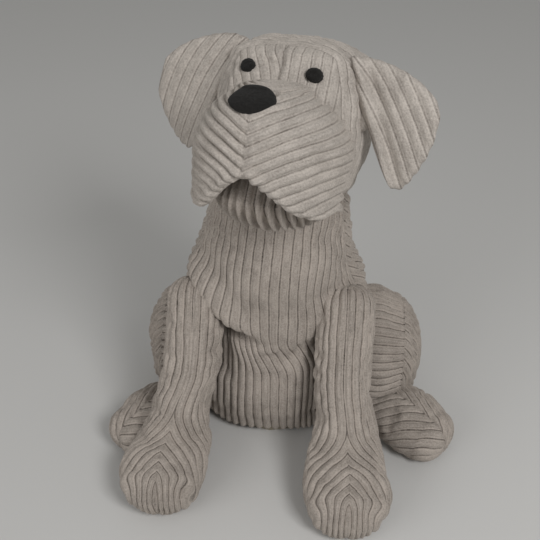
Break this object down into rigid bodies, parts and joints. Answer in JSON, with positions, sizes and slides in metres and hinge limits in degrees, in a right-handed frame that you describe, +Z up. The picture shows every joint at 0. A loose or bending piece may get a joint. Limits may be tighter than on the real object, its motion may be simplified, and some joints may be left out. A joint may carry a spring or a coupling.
{
  "type": "weighted fabric door stop",
  "caption": "Sitting dog sewn from wide-wale corduroy, stuffed with fibre and weighted with a bag of sand, that holds a door open.",
  "frame": {"origin": "centre of the flat underside of the body, on the floor", "axes": "+Z up, the dog faces -Y, its left side is +X"},
  "size_m": [0.2507, 0.2195, 0.2971],
  "materials": {
    "body_corduroy": "cotton corduroy with wide raised wales, short pile, matt with a soft sheen on the pile",
    "head_corduroy": "the same corduroy, seen in more light",
    "black_felt": "matt black felt",
    "base_cotton": "plain woven cotton, matt",
    "sand_bag_cotton": "plain woven cotton bag, matt",
    "fibre_filling": "loose white fibre"
  },
  "bodies": {
    "root": {"chest_panel": "body_corduroy", "back_panel": "body_corduroy", "side_panel_left": "body_corduroy", "side_panel_right": "body_corduroy", "front_leg_left_outer": "body_corduroy", "front_leg_left_inner": "body_corduroy", "front_leg_right_outer": "body_corduroy", "front_leg_right_inner": "body_corduroy", "thigh_left_gusset": "body_corduroy", "thigh_left_side": "body_corduroy", "thigh_right_gusset": "body_corduroy", "thigh_right_side": "body_corduroy", "hind_foot_left_cover": "body_corduroy", "hind_foot_right_cover": "body_corduroy", "face_panel_left": "head_corduroy", "face_panel_right": "head_corduroy", "head_band": "head_corduroy", "head_back": "head_corduroy", "muzzle_left": "head_corduroy", "muzzle_right": "head_corduroy", "chin_panel": "head_corduroy", "ear_left_back": "head_corduroy", "ear_left_front": "head_corduroy", "ear_right_back": "head_corduroy", "ear_right_front": "head_corduroy", "nose_patch": "black_felt", "eye_left": "black_felt", "eye_right": "black_felt", "base_panel": "base_cotton", "sand_bag": "sand_bag_cotton", "body_filling": "fibre_filling", "head_filling": "fibre_filling", "muzzle_filling": "fibre_filling", "front_leg_left_filling": "fibre_filling", "front_leg_right_filling": "fibre_filling", "thigh_left_filling": "fibre_filling", "thigh_right_filling": "fibre_filling", "hind_foot_left_filling": "fibre_filling", "hind_foot_right_filling": "fibre_filling"}
  },
  "joints": []
}
